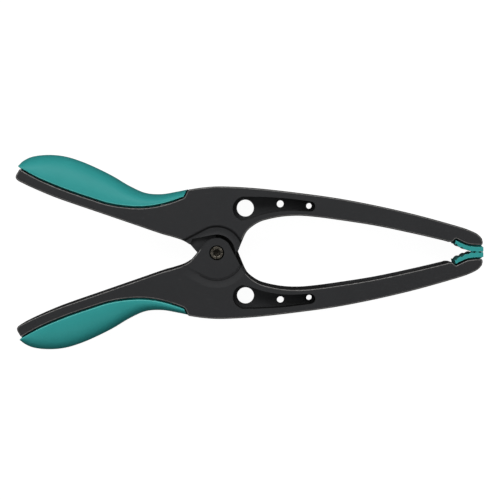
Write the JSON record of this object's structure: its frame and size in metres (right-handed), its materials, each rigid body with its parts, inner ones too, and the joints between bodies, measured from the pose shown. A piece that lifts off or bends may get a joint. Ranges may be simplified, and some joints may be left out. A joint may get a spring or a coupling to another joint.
{
  "type": "spring clamp",
  "caption": "Long-jaw spring clamp: two hinged plastic levers with soft grips and ribbed jaw pads, held shut by a torsion spring.",
  "frame": {"origin": "middle of the clamp's box, on the surface that it lies on", "axes": "+X along the clamp, towards the jaw tips; +Y across it, towards the upper lever; +Z through its thickness, up from the side that it lies on"},
  "size_m": [0.2206, 0.093, 0.022],
  "materials": {
    "lever_plastic": "finely textured black plastic, satin",
    "soft_rubber": "smooth soft-touch teal rubber, satin",
    "spring_steel": "drawn wire, lightly oiled",
    "rivet_steel": "dark plated steel, slightly tarnished"
  },
  "bodies": {
    "lower_half": {"lower_lever": "lever_plastic", "lower_grip": "soft_rubber", "lower_jaw_pad": "soft_rubber", "torsion_spring": "spring_steel", "spring_sleeve": "rivet_steel", "pivot_rivet": "rivet_steel"},
    "upper_half": {"upper_lever": "lever_plastic", "upper_grip": "soft_rubber", "upper_jaw_pad": "soft_rubber"}
  },
  "joints": [
    {"name": "jaw_hinge", "type": "hinge", "parent": "lower_half", "child": "upper_half", "pos_m": [-0.0157, 0, 0.011], "axis": [0, 0, 1], "range_deg": [0, 33], "stiffness_Nm_per_rad": 4, "springref_deg": -57.3, "deforming": ["torsion_spring"]}
  ]
}
